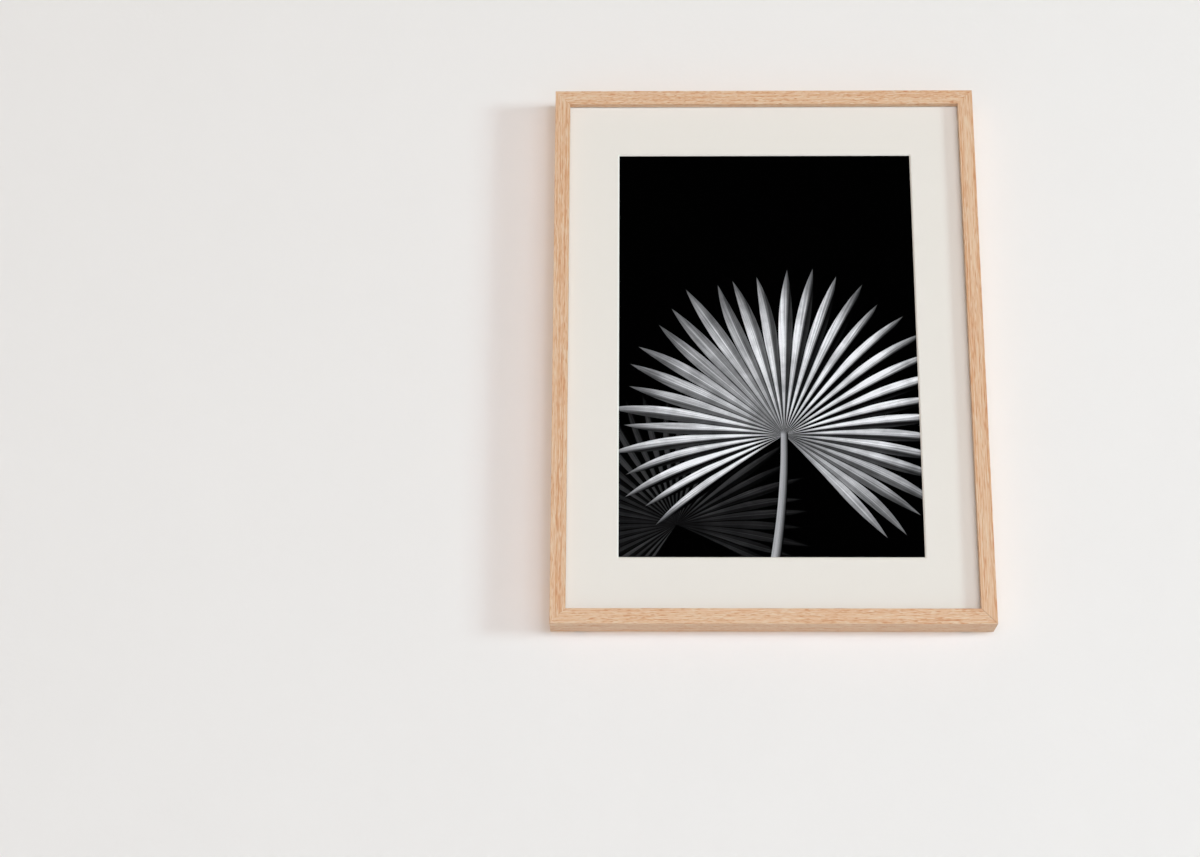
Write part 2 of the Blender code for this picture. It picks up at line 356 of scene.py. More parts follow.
class PrintSheet(PropertyGroup):
    """The print, a generic monochrome fan leaf."""

    ground: share("Ground", "Brightness of the dark ground", 0.0004)
    light: share("Light", "Brightness of the palest parts of the leaf", 0.93)
    pleats: IntProperty(name="Pleats", description="Number of folds in the leaf", default=34, min=6,
                        max=80)
    spread: FloatProperty(name="Spread", description="Half of the angle that the leaf fans over",
                          default=math.radians(132), min=0.5, max=3.1, subtype="ANGLE")
    reach: FloatProperty(name="Reach", default=1.30, min=0.2, max=3.0,
                         description="Length of the longest fold, in half window widths")


class GlazingSheet(PropertyGroup):
    """The clear sheet in front of the mat."""

    cover: share("Reflection", "Share of a bare sheet's reflection that the coating leaves", 0.05)
    roughness: share("Roughness", "Roughness of the glazing's surface", 0.03)


class Backing(PropertyGroup):
    """The board and the metal and rubber fittings on the back."""

    board: colour("Hardboard", "Colour of the backing board", (0.30, 0.175, 0.095))
    fibre: colour("Fibre", "Colour of the board's pale fibres", (0.47, 0.31, 0.19))
    steel: colour("Zinc", "Colour of the zinc-plated steel", (0.62, 0.62, 0.60))
    rubber: colour("Rubber", "Colour of the wall bumpers", (0.030, 0.030, 0.032))
    nail_thickness: length("Nail thickness", "Thickness of the V-shaped corner nails", 0.0006)


class Stage(PropertyGroup):
    """The wall, the floor and the light, which are not part of the picture."""

    wall: colour("Wall", "Colour of the painted wall", (0.881, 0.850, 0.802))
    floor: colour("Floor", "Colour of the floor", (0.56, 0.55, 0.54))
    floor_glow: colour("Floor glow", "Light that the floor gives by itself", (0.17, 0.18, 0.205))
    backdrop: colour("Backdrop", "Colour of the far backdrop", (0.73, 0.73, 0.725))
    floor_drop: length("Floor drop", "Height of the hanger above the floor", 1.75)
    floor_reach: length("Floor reach", "Distance from the picture to the floor's rim", 6.5)
    air: colour("Air", "Colour and strength of the light from all round", (0.281, 0.219, 0.128))
    brightness: FloatProperty(name="Brightness", description="Strength of the soft lights",
                              default=1.0, min=0.0, max=20.0)


class WallPicture(PropertyGroup):
    """All settings of the framed wall picture."""

    oak: PointerProperty(type=OakRails, name="Oak rails", description="Rails of the frame")
    mat: PointerProperty(type=MatBoard, name="Mat", description="Mat board")
    print_sheet: PointerProperty(type=PrintSheet, name="Print", description="Printed sheet")
    glazing: PointerProperty(type=GlazingSheet, name="Glazing", description="Clear sheet")
    backing: PointerProperty(type=Backing, name="Backing", description="Board and fittings")
    stage: PointerProperty(type=Stage, name="Stage", description="Wall, floor, light and camera")


def add_piece(name, mesh, slot, *nodes):
    """A piece of the picture that stands for these solids, which it hides. Its slot is not used."""
    piece = bpy.data.objects.new(name, mesh)
    bpy.context.scene.collection.objects.link(piece)
    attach(piece, "root")
    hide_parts(*nodes)
    return piece


def ease(piece, width):
    """Round a piece's sharp edges a little."""
    bevel = piece.modifiers.new("eased_edges", "BEVEL")
    bevel.width = width
    bevel.segments = 2
    bevel.limit_method = "ANGLE"
    bevel.angle_limit = math.radians(35)
    bevel.harden_normals = True


def dress(node, material, edge=0.0):
    """Give a solid a better material, and ease its edges if asked."""
    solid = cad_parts[node]
    if not solid.material_slots:
        solid.data.materials.append(material)
    for slot in solid.material_slots:
        slot.material = material
    if edge:
        ease(solid, edge)


def rounded(corners):
    """A closed outline through square corners (x, y, radius), each rounded if it has a radius."""
    outline = []
    for index, (x, y, radius) in enumerate(corners):
        corner = Vector((x, y))
        before = Vector(corners[index - 1][:2])
        after = Vector(corners[(index + 1) % len(corners)][:2])
        inward = (corner - before).normalized()
        outward = (after - corner).normalized()
        if not radius:
            outline.append(corner)
            continue
        centre = corner + (outward - inward) * radius
        for step in range(CORNER_STEPS + 1):
            turn = math.pi / 2 * step / CORNER_STEPS
            outline.append(centre + (inward * math.sin(turn) - outward * math.cos(turn)) * radius)
    return outline


def face_along(bm, corners, layer, places, material=0, smooth=False):
    """A face with its place on the bake map."""
    face = bm.faces.new(corners)
    face.material_index = material
    face.smooth = smooth
    for loop, place in zip(face.loops, places):
        loop[layer].uv = place
    return face


def rail_mesh(name, oak, turn, reach, half, gaps, start, ring_turn, closeness):
    """One mitred rail, swept along its profile, with its grain's own coordinates."""
    width = oak.rail_width
    depth = BACK_Y - FRONT_Y
    corners = [
        (0.0, 0.0, oak.arris),
        (width, 0.0, oak.arris),
        (width, oak.lip_thickness, oak.arris / 8),
        (oak.back_width, oak.lip_thickness, 0.0),
        (oak.back_width, depth, oak.arris / 2),
        (0.0, depth, oak.arris),
    ]
    outline = rounded(corners)
    count = len(outline)
    first_bare = next(i for i, point in enumerate(outline) if point.y > oak.lip_thickness - TOUCH)
    around = [0.0]
    for index in range(count):
        around.append(around[-1] + (outline[(index + 1) % count] - outline[index]).length)

    side = Matrix.Translation((0, 0, CENTRE_Z)) @ Matrix.Rotation(math.radians(turn), 4, "Y")
    cosine, sine = math.cos(math.radians(ring_turn)), math.sin(math.radians(ring_turn))
    mesh = bpy.data.meshes.new(name)
    bm = bmesh.new()
    grain = bm.verts.layers.float_vector.new("grain")
    layer = bm.loops.layers.uv.new("OFBake")
    ends = []
    for sign, gap in zip((-1, 1), gaps):
        row = []
        for inward, back in outline:
            along = sign * (half - inward - gap * math.sqrt(0.5))
            vertex = bm.verts.new(side @ Vector((along, FRONT_Y + back, reach - inward)))
            across = inward * cosine + back * sine
            vertex[grain] = (along * closeness + start, across, back * cosine - inward * sine)
            row.append((vertex, along))
        ends.append(row)
    # On the bake map the sides lie below the first height and the ends in two parts of the second
    sides_top, ends_height = 0.96, 0.98
    strip = sides_top / around[-1]
    for index in range(count):
        after = (index + 1) % count
        low, high = around[index] * strip, around[index + 1] * strip
        bare = int(first_bare <= index < count - 1 - CORNER_STEPS)
        points = [ends[0][index], ends[1][index], ends[1][after], ends[0][after]]
        heights = (low, low, high, high)
        places = [(along / (2 * half) + 0.5, v) for (_, along), v in zip(points, heights)]
        face_along(bm, [vertex for vertex, _ in points], layer, places, bare, smooth=True)
    for end, row in enumerate(ends):
        ring = [vertex for vertex, _ in (row if end else row[::-1])]
        first = 0.05 + 0.5 * end
        places = [(first + vertex.co.y, ends_height) for vertex in ring]
        face = face_along(bm, ring, layer, places, material=1)
        for edge in face.edges:
            edge.smooth = False
    bmesh.ops.recalc_face_normals(bm, faces=bm.faces)
    bm.to_mesh(mesh)
    bm.free()
    return mesh


def oak_finish(name, oak, base, roughness, contrast, lines):
    """Oak whose grain the mesh carries, as metres along it, across its rings and round them."""
    finish = Finish(name)
    grain = finish.stored("grain")
    along, across, round_rings = finish.split(grain)

    # The lines wander along the board and waver a little
    drift = finish.noise(grain, (2.4, 50.0, 30.0), 1.0, 0.5, 3.1) - 0.5
    waver = finish.noise(grain, (42.0, 190.0, 120.0), 1.0, 0.5, 14.2) - 0.5
    level = across + drift * 0.0016 + waver * 0.0008
    bent = finish.vector(along, level, round_rings)

    ring = finish.noise(bent, (1.3, 680.0, 40.0), 0.5, 0.5, 8.4).rise(0.50, 0.58) * lines
    streak = finish.noise(bent, (24.0, 760.0, 600.0), 1.0, 0.5, 17.3) - 0.5
    fibre = finish.noise(bent, (60.0, 1500.0, 1200.0), 3.0, 0.6, 1.7)
    broad = finish.noise(grain, (7.0, 110.0, 60.0), 1.0, 0.5, 5.3) - 0.5
    stroke = finish.noise(bent, (150.0, 1150.0, 900.0), 1.5, 0.6, 11.9)
    pore = (stroke + streak * 0.3 + ring * 0.04).rise(0.52, 0.72)
    pale = finish.noise(bent, (110.0, 1000.0, 800.0), 1.5, 0.6, 23.7).rise(0.48, 0.66)

    late = (ring * 0.75 + streak * 1.5 + broad * 0.6 + (fibre - 0.5) * 2.2 + 0.15).within()
    mark_strength = 0.85 * contrast
    wood = finish.mix(late * contrast, base, toned(base, oak.late))
    wood = finish.mix(pale * mark_strength, wood, toned(base, oak.pale))
    wood = finish.mix(pore * mark_strength, wood, toned(base, oak.pore))
    height = (fibre - 0.5) * 0.5 - pore
    return finish.principled(
        Base_Color=wood,
        Roughness=(pore * 0.18 + (fibre - 0.5) * 0.2 + roughness).within(),
        Specular_IOR_Level=0.4,
        Normal=finish.bump(height, depth=0.00010, strength=0.6),
    )


def make_oak_rails(oak):
    """The four rails of the frame."""
    flat_cut = oak_finish("oak_flat_cut", oak, oak.wood, oak.roughness, contrast=1.0, lines=0.55)
    straight_cut = oak_finish("oak_straight_cut", oak, oak.wood, oak.roughness, contrast=0.95,
                              lines=1.1)
    bare = oak_finish("oak_bare", oak, oak.raw, roughness=0.74, contrast=0.8, lines=0.7)
    for name, turn, reach, half in RAILS:
        gaps = [oak.mitre_gap, oak.mitre_gap]
        if name in OPEN_ENDS:
            gaps[OPEN_ENDS[name]] = oak.open_mitre_gap
        mesh = rail_mesh("oak_rail_" + name, oak, turn, reach, half, gaps, *RAIL_CUTS[name])
        mesh.materials.append(straight_cut if name in ("left", "right") else flat_cut)
        mesh.materials.append(bare)
        rail = add_piece("oak_rail_" + name, mesh, "oak", "rail_" + name)
        normals = rail.modifiers.new("even_normals", "WEIGHTED_NORMAL")
        normals.keep_sharp = True


def rectangle(half_width, half_height, y, middle):
    """Corners of an upright rectangle round a middle height, from the lower left."""
    return [
        Vector((x * half_width, y, middle + z * half_height))
        for x, z in ((-1, -1), (1, -1), (1, 1), (-1, 1))
    ]


def mat_mesh(mat):
    """The mat: a ring with a window cut at 45 degrees. Its materials are paper and then core."""
    low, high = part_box("mat_board")
    middle = (low.z + high.z) / 2
    half_width, half_height = high.x, (high.z - low.z) / 2
    inner_width, inner_height = mat.window_width / 2, mat.window_height / 2
    front = GLAZING_BACK + TOUCH
    back = front + MAT_THICKNESS
    rings = [
        rectangle(half_width, half_height, back, middle),
        rectangle(half_width, half_height, front, middle),
        rectangle(inner_width + MAT_THICKNESS, inner_height + MAT_THICKNESS, front, middle),
        rectangle(inner_width, inner_height, back, middle),
    ]

    margin = 1.01

    def map_place(corner, scale):
        """Where a corner lies on the bake map, round its middle and with a margin at its rim."""
        across = corner.x / (2 * margin * half_width)
        up = (corner.z - middle) / (2 * margin * half_height)
        return (0.5 + scale * across, 0.5 + scale * up)

    mesh = bpy.data.meshes.new("mat_card")
    bm = bmesh.new()
    layer = bm.loops.layers.uv.new("OFBake")
    made = [[bm.verts.new(corner) for corner in ring] for ring in rings]
    # The outer edge, face, bevel and back, with their materials and their sizes on the bake map
    for index, (material, scale) in enumerate(((1, 0.55), (0, 1.0), (1, 1.0), (0, 0.55))):
        outer, inner = made[index], made[(index + 1) % 4]
        for corner in range(4):
            after = (corner + 1) % 4
            points = [outer[corner], outer[after], inner[after], inner[corner]]
            places = [map_place(point.co, scale) for point in points]
            face_along(bm, points, layer, places, material)
    bmesh.ops.recalc_face_normals(bm, faces=bm.faces)
    bm.to_mesh(mesh)
    bm.free()
    return mesh


def make_mat(mat):
    """The mat board with its window."""
    face = Finish("mat_face")
    place = face.place()
    pulp = face.noise(place, 900.0, 3.0, 0.6, 2.2)
    cloud = face.noise(place, 14.0, 2.0, 0.5, 7.7)
    tone = ((pulp - 0.5) * 0.10 + (cloud - 0.5) * 0.05 + 0.5).within()
    shade = face.mix(tone, toned(mat.face, 0.93), toned(mat.face, 1.07))
    face.principled(Base_Color=shade, Roughness=(pulp * 0.1 + 0.83).within(),
                    Specular_IOR_Level=0.25, Normal=face.bump(pulp, depth=0.00008, strength=0.5))

    core = Finish("mat_core")
    layers = core.noise(core.place(), (260.0, 5200.0, 260.0), 2.0, 0.6, 4.4)
    shade = core.mix(layers, toned(mat.core, 0.95), mat.core)
    core.principled(Base_Color=shade, Roughness=0.9, Specular_IOR_Level=0.2,
                    Normal=core.bump(layers, depth=0.00005, strength=0.4))

    mesh = mat_mesh(mat)
    mesh.materials.append(face.material)
    mesh.materials.append(core.material)
    add_piece("mat_card", mesh, "mat_card", "mat_board")


def slab_mesh(name, low, high, edge, front):
    """A thin upright sheet with eased edges. Its main face, front or back, fills the bake map."""
    mesh = bpy.data.meshes.new(name)
    bm = bmesh.new()
    bmesh.ops.create_cube(bm, size=1.0)
    bmesh.ops.scale(bm, vec=high - low, verts=bm.verts)
    bmesh.ops.translate(bm, vec=(low + high) / 2, verts=bm.verts)
    bmesh.ops.bevel(bm, geom=bm.edges, offset=edge, segments=2, profile=0.5, affect="EDGES")
    layer = bm.loops.layers.uv.new("OFBake")
    towards = -1.0 if front else 1.0
    size = high - low
    # On the bake map the main face lies above a strip that all other faces share
    margin, strip_height, main_foot = 0.002, 0.030, 0.040
    for face in bm.faces:
        is_main = face.normal.y * towards > 0.1
        foot = main_foot if is_main else margin
        height = 1.0 - margin - main_foot if is_main else strip_height
        for loop in face.loops:
            across = (loop.vert.co.x - low.x) / size.x
            up = (loop.vert.co.z - low.z) / size.z
            loop[layer].uv = (margin + (1.0 - 2 * margin) * across, foot + height * up)
    bm.to_mesh(mesh)
    bm.free()
    return mesh


def fan_leaf(finish, u, v, sheet, hub, turn, size, sag, seed, soft):
    """Brightness and cover of one pleated fan leaf round its hub, split into points at its edge.

    Sag bends its folds down towards their ends, and soft blurs their edges.
    """
    split = 0.52  # Share of a fold's length where its point comes free
    taper = 0.26  # How much shorter the outermost folds are
    length_range = 0.13  # How much the folds differ in length
    tone_range = 0.34  # How much they differ in brightness
    bend_range = 0.9  # How much their points bend to one side, in half folds
    light_side, light_up = -0.80, 0.60  # Where the light comes from, the upper left
    east, north = u - hub[0], v - hub[1]
    cosine, sine = math.cos(turn), math.sin(turn)
    across = east * cosine - north * sine
    up = east * sine + north * cosine
    up = up + (across * across + up * up) * sag
    radius = (across * across + up * up).root()
    angle = across.angle_from(up)

    pleat = (angle / (2 * sheet.spread) + 0.5) * sheet.pleats
    index = pleat.floor()
    side = (pleat - index) * 2.0 - 1.0
    luck = finish.add("ShaderNodeTexWhiteNoise", {"noise_dimensions": "1D"}, {"W": index + seed},
                      output="Color")
    long_luck, bend_luck, tone_luck = finish.split(luck)

    flare = angle / sheet.spread
    fan_length = 1.0 - flare * flare * taper
    own_length = long_luck * length_range + (1.0 - length_range / 2)
    reach = fan_length * own_length * (sheet.reach * size)
    out = radius / reach
    free = ((out - split) / (1.0 - split)).within()
    side = side + (bend_luck - 0.5) * free * free * bend_range
    half = 1.0 - free ** 1.5
    edge = abs(side)
    cover = edge.rise(half, half - soft) * abs(angle).rise(sheet.spread, sheet.spread - 0.02)

    # Each fold is lit on the half that turns to the light, less at the hub and the points
    heading = angle - turn
    facing = heading.cosine() * light_side - heading.sine() * light_up
    fold = (side * 3.2).within(-1.0, 1.0) * (1.0 - edge * 0.25)
    light = 0.46 + fold * facing * 0.54
    light = light * (1.0 - out.rise(0.55, 1.05) * 0.42) * (out.rise(-0.02, 0.30) * 0.45 + 0.55)
    light = light * (tone_luck * tone_range + (1.0 - tone_range / 2))

    # Fine lines along each fold, soft patches over the leaf, dark valleys and a pale rib
    fold_place = finish.vector(side + index * 2.0, out, 0.0)
    lines = finish.noise(fold_place, (7.0, 2.2, 1.0), 3.0, 0.65, seed)
    cloud = finish.noise(finish.vector(u, v, 0.0), (5.0, 5.0, 1.0), 3.0, 0.6, seed + 5.0)
    light = light * (lines * 1.3 + 0.40) * (cloud * 1.1 + 0.50)
    valley = edge.rise(0.78, 1.0) * out.rise(split + 0.06, split - 0.12)
    light = light * (1.0 - valley * 0.72)
    rib = edge.rise(0.11, 0.03) * out.rise(1.0, 0.7)
    light = light + rib * 0.20 * light.rise(0.0, 0.5) + rib * 0.03
    return light.within(), cover


def leaf_stalk(finish, u, v, hub, lean, width):
    """Brightness and cover of the stalk that runs down from the leaf's hub."""
    below = (hub[1] - v).at_least(0.0)
    across = (u - hub[0] - below * below * lean) / (below * 0.012 + width)
    cover = abs(across).rise(1.0, 0.86) * (v - hub[1]).rise(0.035, 0.0)
    round_part = (1.0 - across * across).at_least(0.0).root()
    lines = finish.noise(finish.vector(across, below, 0.0), (5.0, 1.3, 1.0), 3.0, 0.6, 2.9)
    light = (round_part * 0.62 - across * 0.42).at_least(0.02) * (lines * 0.7 + 0.5)
    return light, cover


def make_print(sheet, mat):
    """The print: a generic fan leaf in greys on a near-black ground."""
    finish = Finish("print_ink")
    x, _, z = finish.split(finish.place())
    u = x / (mat.window_width / 2)
    v = (z - CENTRE_Z) / (mat.window_width / 2)

    hub = (0.10, -0.60)
    back_light, back_cover = fan_leaf(finish, u, v, sheet, (-0.62, -1.22), turn=-0.30, size=0.80,
                                      sag=0.10, seed=71.0, soft=0.18)
    light, cover = fan_leaf(finish, u, v, sheet, hub, turn=0.10, size=1.0, sag=0.07, seed=13.0,
                            soft=0.06)
    stalk_light, stalk_cover = leaf_stalk(finish, u, v, hub, lean=-0.10, width=0.026)

    # From the back to the front: the far leaf, the leaf and its stalk
    tone = back_light * back_cover * 0.16
    tone = tone * (1.0 - cover) + light * cover
    tone = tone * (1.0 - stalk_cover) + stalk_light * stalk_cover
    grain = finish.noise(finish.place(), 1500.0, 1.0, 0.5, 9.1) - 0.5
    tone = (tone * (grain * 0.25 + 1.0)).within() ** 1.75
    tone = tone * (sheet.light - sheet.ground) + sheet.ground
    tooth = finish.noise(finish.place(), 2200.0, 2.0, 0.5, 6.6)
    finish.principled(Base_Color=finish.grey(tone), Roughness=(tooth * 0.1 + 0.75).within(),
                      Specular_IOR_Level=0.0,
                      Normal=finish.bump(tooth, depth=0.00002, strength=0.4))

    low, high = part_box("print_sheet")
    low.y = GLAZING_BACK + MAT_THICKNESS + 2 * TOUCH
    mesh = slab_mesh("art_print", low, high, edge=0.0001, front=True)
    mesh.materials.append(finish.material)
    add_piece("art_print", mesh, "print_paper", "print_sheet")


def make_glazing(glazing):
    """The clear sheet, with a coating that hides most reflections."""
    finish = Finish("glazing_coated")
    place = finish.place()
    haze = finish.noise(place, 11.0, 3.0, 0.6, 1.3)
    sweep = finish.noise(place, (6.0, 6.0, 60.0), 2.0, 0.5, 12.3)
    sheen = finish.add("ShaderNodeBsdfPrincipled", None, {
        "Base Color": (1.0, 1.0, 1.0), "Metallic": 1.0,
        "Roughness": (haze.rise(0.4, 0.75) * 0.05 + sweep * 0.03 + glazing.roughness).within()})
    clear = finish.add("ShaderNodeBsdfTransparent")
    mirrored = finish.add("ShaderNodeFresnel", None, {"IOR": 1.49}) * glazing.cover
    coated = finish.add("ShaderNodeMixShader", None, {0: mirrored, 1: clear, 2: sheen})
    dress("glazing", finish.show(coated))


def make_backing(backing):
    """The hardboard behind the print."""
    finish = Finish("hardboard_brown")
    place = finish.place()
    felt = finish.noise(place, (420.0, 420.0, 1100.0), 4.0, 0.7, 3.9)
    cross = finish.noise(place, (1300.0, 420.0, 380.0), 4.0, 0.7, 8.2)
    cloud = finish.noise(place, 9.0, 3.0, 0.6, 5.5)
    fibre = ((felt + cross) * 0.5).rise(0.47, 0.62)
    speck = finish.noise(place, 700.0, 1.0, 0.5, 19.0).rise(0.66, 0.74)
    shade = finish.mix((fibre * 0.7 + (cloud - 0.5) * 0.9).within(), backing.board, backing.fibre)
    shade = finish.mix(speck * 0.6, shade, toned(backing.board, 0.35))
    finish.principled(Base_Color=shade, Roughness=(fibre * 0.15 + 0.6).within(),
                      Specular_IOR_Level=0.35,
                      Normal=finish.bump(fibre, depth=0.00012, strength=0.5))
    mesh = slab_mesh("hardboard_back", *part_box("backing_board"), edge=0.0004, front=False)
    mesh.materials.append(finish.material)
    add_piece("hardboard_back", mesh, "backing_board", "backing_board")


def zinc_finish(backing):
    """Zinc-plated steel, faintly mottled, with fine rolling lines. Built once and then shared."""
    if "zinc_plate" in bpy.data.materials:
        return bpy.data.materials["zinc_plate"]
    finish = Finish("zinc_plate")
    place = finish.place()
    mottle = finish.noise(place, 700.0, 3.0, 0.6, 2.7)
    lines = finish.noise(place, (300.0, 4000.0, 6000.0), 2.0, 0.5, 9.9)
    shade = finish.mix((mottle * 0.7 + lines * 0.3).within(), toned(backing.steel, 0.72),
                       toned(backing.steel, 1.2))
    return finish.principled(Base_Color=shade, Metallic=0.9,
                             Roughness=(mottle * 0.3 + 0.28).within(),
                             Normal=finish.bump(lines, depth=0.00003, strength=0.4))


def make_tabs(backing):
    """The spring tabs that hold the backing in."""
    steel = zinc_finish(backing)
    for node in sorted(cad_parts):
        if node.startswith("tab_"):
            dress(node, steel, edge=0.00015)


def v_nail_mesh(low, high, across, up, thickness):
    """A V-shaped strip sunk into the wood from the rails' back, with its point at a corner."""
    point = Vector((high.x if across > 0 else low.x, high.z if up > 0 else low.z))
    tail = Vector((low.x if across > 0 else high.x, low.z if up > 0 else high.z))
    inner = point - thickness * Vector((across, up))
    outline = [(point.x, point.y), (tail.x, point.y), (tail.x, inner.y), (inner.x, inner.y),
               (inner.x, tail.y), (point.x, tail.y)]
    mesh = bpy.data.meshes.new("v_nail")
    bm = bmesh.new()
    flush, sunk = ([bm.verts.new((x, y + TOUCH, z)) for x, z in outline] for y in (BACK_Y, low.y))
    bm.faces.new(flush)
    bm.faces.new(sunk[::-1])
    for index in range(len(outline)):
        bm.faces.new((flush[index - 1], sunk[index - 1], sunk[index], flush[index]))
    bmesh.ops.recalc_face_normals(bm, faces=bm.faces)
    bm.to_mesh(mesh)
    bm.free()
    return mesh


def make_corner_nails(backing):
    """The V-shaped nails driven into the back of the mitres until they are flush."""
    steel = zinc_finish(backing)
    for level, up in (("top", 1), ("bottom", -1)):
        for end, across in (("right", 1), ("left", -1)):
            node = f"corner_nail_{level}_{end}"
            mesh = v_nail_mesh(*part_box(node), across, up, backing.nail_thickness)
            mesh.materials.append(steel)
            nail = add_piece(f"v_nail_{level}_{end}", mesh, "zinc_steel", node)
            ease(nail, backing.nail_thickness / 8)


def make_hanger(backing):
    """The toothed hanger and its two nails."""
    steel = zinc_finish(backing)
    dress("hanger_plate", steel, edge=0.0001)
    dress("hanger_nail_left", steel)
    dress("hanger_nail_right", steel)


def make_bumpers(backing):
    """The rubber pads that meet the wall."""
    finish = Finish("bumper_rubber")
    skin = finish.noise(finish.place(), 2600.0, 2.0, 0.6, 4.1)
    shade = finish.mix(skin, backing.rubber, toned(backing.rubber, 1.9))
    rubber = finish.principled(Base_Color=shade, Roughness=(skin * 0.2 + 0.62).within(),
                               Specular_IOR_Level=0.4,
                               Normal=finish.bump(skin, depth=0.00005, strength=0.5))
    dress("bumper_left", rubber)
    dress("bumper_right", rubber)


def add_stage(name, mesh, material):
    """A part of the stage."""
    mesh.materials.append(material)
    part = bpy.data.objects.new(name, mesh)
    bpy.context.scene.collection.objects.link(part)
    return part


def stage_plane(name, corners, material):
    """A flat part of the stage."""
    mesh = bpy.data.meshes.new(name)
    mesh.from_pydata(corners, [], [range(len(corners))])
    return add_stage(name, mesh, material)


def soft_light(name, place, width, height, power, tone):
    """A rectangular soft light that points at the picture's centre and does not show itself."""
    lamp = bpy.data.lights.new(name, "AREA")
    lamp.shape = "RECTANGLE"
    lamp.size = width
    lamp.size_y = height
    lamp.energy = power
    lamp.color = tone
    light = bpy.data.objects.new(name, lamp)
    light.location = place
    light.rotation_euler = (Vector((0, 0, CENTRE_Z)) - place).to_track_quat("-Z", "Y").to_euler()
    light.visible_camera = False
    # The glazing would mirror the light in front of it
    light.visible_glossy = name != "front_light"
    bpy.context.scene.collection.objects.link(light)
    return light


def make_wall(stage):
    """The painted wall. It is clear from behind, so that the picture's back can be seen."""
    finish = Finish("wall_paint")
    place = finish.place()
    roller = finish.noise(place, 190.0, 3.0, 0.55, 1.1)
    cloud = finish.noise(place, 5.0, 3.0, 0.5, 6.2)
    shade = finish.mix(cloud, toned(stage.wall, 0.985), toned(stage.wall, 1.01))
    paint = finish.add("ShaderNodeBsdfPrincipled", None, {
        "Base Color": shade, "Roughness": 0.92, "Specular IOR Level": 0.15,
        "Normal": finish.bump(roller, depth=0.0004, strength=0.35)})
    behind = finish.add("ShaderNodeNewGeometry", output="Backfacing")
    clear = finish.add("ShaderNodeBsdfTransparent")
    finish.show(finish.add("ShaderNodeMixShader", None, {0: behind, 1: paint, 2: clear}))
    outline = ((-1, -stage.floor_drop), (1, -stage.floor_drop), (1, WALL_TOP), (-1, WALL_TOP))
    corners = [(side * WALL_HALF_WIDTH, WALL_PLANE, height) for side, height in outline]
    stage_plane("stage_wall", corners, finish.material).visible_shadow = False


def make_floor(stage):
    """The round floor."""
    finish = Finish("floor_plain")
    cloud = finish.noise(finish.place(), 1.2, 4.0, 0.5, 3.3)
    shade = finish.mix(cloud, toned(stage.floor, 0.97), stage.floor)
    finish.principled(Base_Color=shade, Roughness=0.85, Specular_IOR_Level=0.2,
                      Emission_Color=stage.floor_glow, Emission_Strength=1.0)
    rim = [Vector((stage.floor_reach, 0, -stage.floor_drop)) for _ in range(FLOOR_CORNERS)]
    for step, corner in enumerate(rim):
        corner.rotate(Euler((0, 0, 2 * math.pi * step / FLOOR_CORNERS)))
    return stage_plane("stage_floor", rim, finish.material)


def make_backdrop(stage):
    """Pale air all round. The camera sees both halves, and metal mirrors only the back one."""
    for name, is_front in (("stage_backdrop_front", True), ("stage_backdrop_back", False)):
        finish = Finish(name)
        cloud = finish.noise(finish.place(), 0.05, 1.0, 0.5, 4.0)
        shade = finish.mix(cloud, toned(stage.backdrop, 0.98), stage.backdrop)
        finish.principled(Base_Color=(0.0, 0.0, 0.0), Specular_IOR_Level=0.0,
                          Emission_Color=shade, Emission_Strength=1.0)
        mesh = bpy.data.meshes.new(name)
        bm = bmesh.new()
        bmesh.ops.create_icosphere(bm, subdivisions=4, radius=BACKDROP_RADIUS)
        others = [face for face in bm.faces if (face.calc_center_median().y > 0) == is_front]
        bmesh.ops.delete(bm, geom=others, context="FACES")
        bm.to_mesh(mesh)
        bm.free()
        shell = add_stage(name, mesh, finish.material)
        shell.visible_diffuse = False
        shell.visible_shadow = False
        shell.visible_glossy = not is_front


def make_air(stage):
    """Even light from all round, which shiny surfaces do not mirror."""
    world = bpy.data.worlds.new("room")
    world.use_nodes = True
    air = world.node_tree.nodes["Background"]
    air.inputs["Color"].default_value = (*stage.air, 1.0)
    air.inputs["Strength"].default_value = 1.0
    world.cycles_visibility.glossy = False
    bpy.context.scene.world = world


def make_lights(stage, floor):
    """The soft lights. The one behind the wall does not reach the floor."""
    for name, (turn, tilt, distance, width, height, power, tone) in LIGHTS.items():
        place = Vector((0, -distance, 0))
        place.rotate(Euler((-math.radians(tilt), 0, math.radians(turn))))
        place.z += CENTRE_Z
        light = soft_light(name, place, width, height, power * stage.brightness, tone)
        if name == "back_light":
            skipped = bpy.data.collections.new("not_lit_from_behind")
            skipped.objects.link(floor)
            light.light_linking.receiver_collection = skipped
            skipped.collection_objects[0].light_linking.link_state = "EXCLUDE"


def make_camera():
    """The camera at the photograph's viewing angle."""
    scene = bpy.context.scene
    lens = bpy.data.cameras.new("photo_camera")
    lens.lens = CAMERA_LENS
    lens.sensor_width = CAMERA_SENSOR
    lens.clip_end = CAMERA_REACH
    camera = bpy.data.objects.new("photo_camera", lens)
    camera.location = CAMERA_PLACE
    camera.rotation_euler = [math.radians(angle) for angle in CAMERA_TURN]
    scene.collection.objects.link(camera)
    scene.camera = camera
    scene.view_settings.view_transform = "Standard"


def make_stage(stage):
    """The wall, the floor, the backdrop, the light and the camera."""
    make_wall(stage)
    floor = make_floor(stage)
    make_backdrop(stage)
    make_air(stage)
    make_lights(stage, floor)
    make_camera()


class WALLPICTURE_OT_oak_rails(Operator):
    """Build the four mitred oak rails"""

    bl_idname = "wall_picture.oak_rails"
    bl_label = "Oak rails"

    def execute(self, context):
        make_oak_rails(context.scene.wall_picture.oak)
        return {"FINISHED"}


